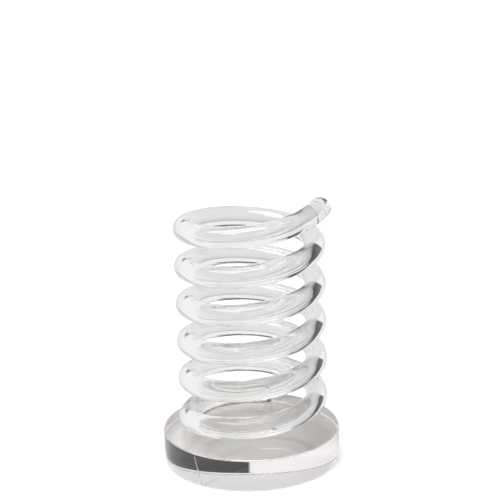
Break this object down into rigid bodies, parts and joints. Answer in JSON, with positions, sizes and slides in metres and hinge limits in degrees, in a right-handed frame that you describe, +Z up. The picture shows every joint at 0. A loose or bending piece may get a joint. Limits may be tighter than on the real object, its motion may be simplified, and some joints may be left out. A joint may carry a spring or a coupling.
{
  "type": "pen holder cup",
  "caption": "Free-standing pen cup: a solid clear rod bent into an open round coil, cemented on a thick clear round disc.",
  "frame": {"origin": "centre of the disc's flat underside, on the surface that the cup stands on", "axes": "+Z up along the disc's axis; +X to the side where the rod's free top end points out; +Y to the back, where the rod's lower end lies on the disc"},
  "size_m": [0.065, 0.065, 0.0995],
  "materials": {
    "disc_acrylic": "clear cast acrylic, polished faces and edge",
    "rod_acrylic": "clear extruded acrylic rod, glossy, polished free end",
    "acrylic_cement": "cured clear acrylic cement"
  },
  "bodies": {
    "root": {"base_disc": "disc_acrylic", "coil_rod": "rod_acrylic", "cement_bead": "acrylic_cement"}
  },
  "joints": []
}
